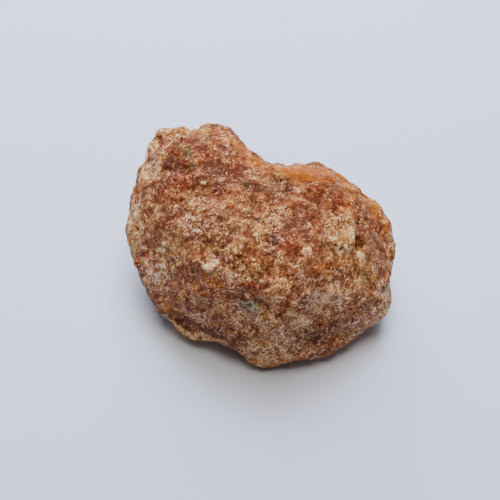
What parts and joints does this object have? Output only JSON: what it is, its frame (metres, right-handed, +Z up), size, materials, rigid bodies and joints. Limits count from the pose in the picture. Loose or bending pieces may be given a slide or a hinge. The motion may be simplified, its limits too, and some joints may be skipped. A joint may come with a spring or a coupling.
{
  "type": "raw honey calcite",
  "caption": "Rough lump of honey-brown calcite with a sugary crystal surface, rounded by wear and resting on a flat cleavage face.",
  "frame": {"origin": "middle of the stone's outline, on the surface that it lies on", "axes": "+X along the stone's length, +Y towards its far side, +Z up"},
  "size_m": [0.078, 0.0636, 0.0409],
  "materials": {
    "honey_calcite": "rough sugary crystal surface, slightly translucent, with small glinting cleavage faces"
  },
  "bodies": {
    "root": {"honey_calcite": "honey_calcite"}
  },
  "joints": []
}
